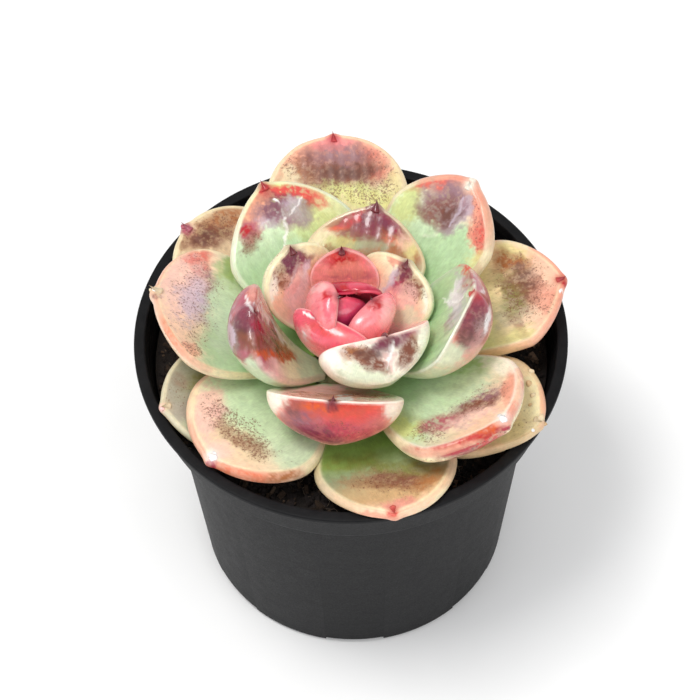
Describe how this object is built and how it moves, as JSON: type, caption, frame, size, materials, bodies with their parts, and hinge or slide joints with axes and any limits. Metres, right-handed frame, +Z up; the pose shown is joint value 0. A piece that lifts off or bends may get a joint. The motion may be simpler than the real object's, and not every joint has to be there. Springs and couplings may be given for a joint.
{
  "type": "potted succulent",
  "caption": "Echeveria rosette with thick mint, peach and plum mottled leaves and a pink heart, in a matte black plastic nursery pot with peat soil",
  "frame": {"origin": "centre of the pot's flat underside", "axes": "+Z up along the pot's axis; -Y is the side that faces the viewer; +X to the viewer's right; the rosette's axis stands 2 mm towards -X and 7 mm towards -Y from the pot's"},
  "size_m": [0.104, 0.104, 0.1126],
  "materials": {
    "pot_plastic": "matte, slightly textured black polypropylene",
    "soil": null,
    "stem": null,
    "outer_leaf": null,
    "middle_leaf": null,
    "inner_leaf": null,
    "bud_leaf": null
  },
  "bodies": {
    "root": {"pot": "pot_plastic", "potting_soil": "soil", "stem": "stem", "leaf_01_outer_front_right": "outer_leaf", "leaf_02_outer_left": "outer_leaf", "leaf_03_lower_back_right": "outer_leaf", "leaf_04_outer_front": "outer_leaf", "leaf_05_outer_back_left": "outer_leaf", "leaf_06_outer_right": "outer_leaf", "leaf_07_outer_front_left": "outer_leaf", "leaf_08_outer_back": "outer_leaf", "leaf_09_middle_front_right": "middle_leaf", "leaf_10_middle_left": "middle_leaf", "leaf_11_middle_back_right": "middle_leaf", "leaf_12_middle_front": "middle_leaf", "leaf_13_middle_back_left": "middle_leaf", "leaf_14_inner_right": "inner_leaf", "leaf_15_inner_front_left": "inner_leaf", "leaf_16_inner_back": "inner_leaf", "leaf_17_inner_front_right": "inner_leaf", "leaf_18_inner_back_left": "inner_leaf", "leaf_19_inner_back_right": "inner_leaf", "bud_leaf_20_front": "bud_leaf", "bud_leaf_21_back": "bud_leaf", "bud_leaf_22_right": "bud_leaf", "bud_leaf_23_left": "bud_leaf", "bud_leaf_24_back_right": "bud_leaf", "bud_leaf_25_heart_front": "bud_leaf", "bud_leaf_26_heart": "bud_leaf"}
  },
  "joints": []
}
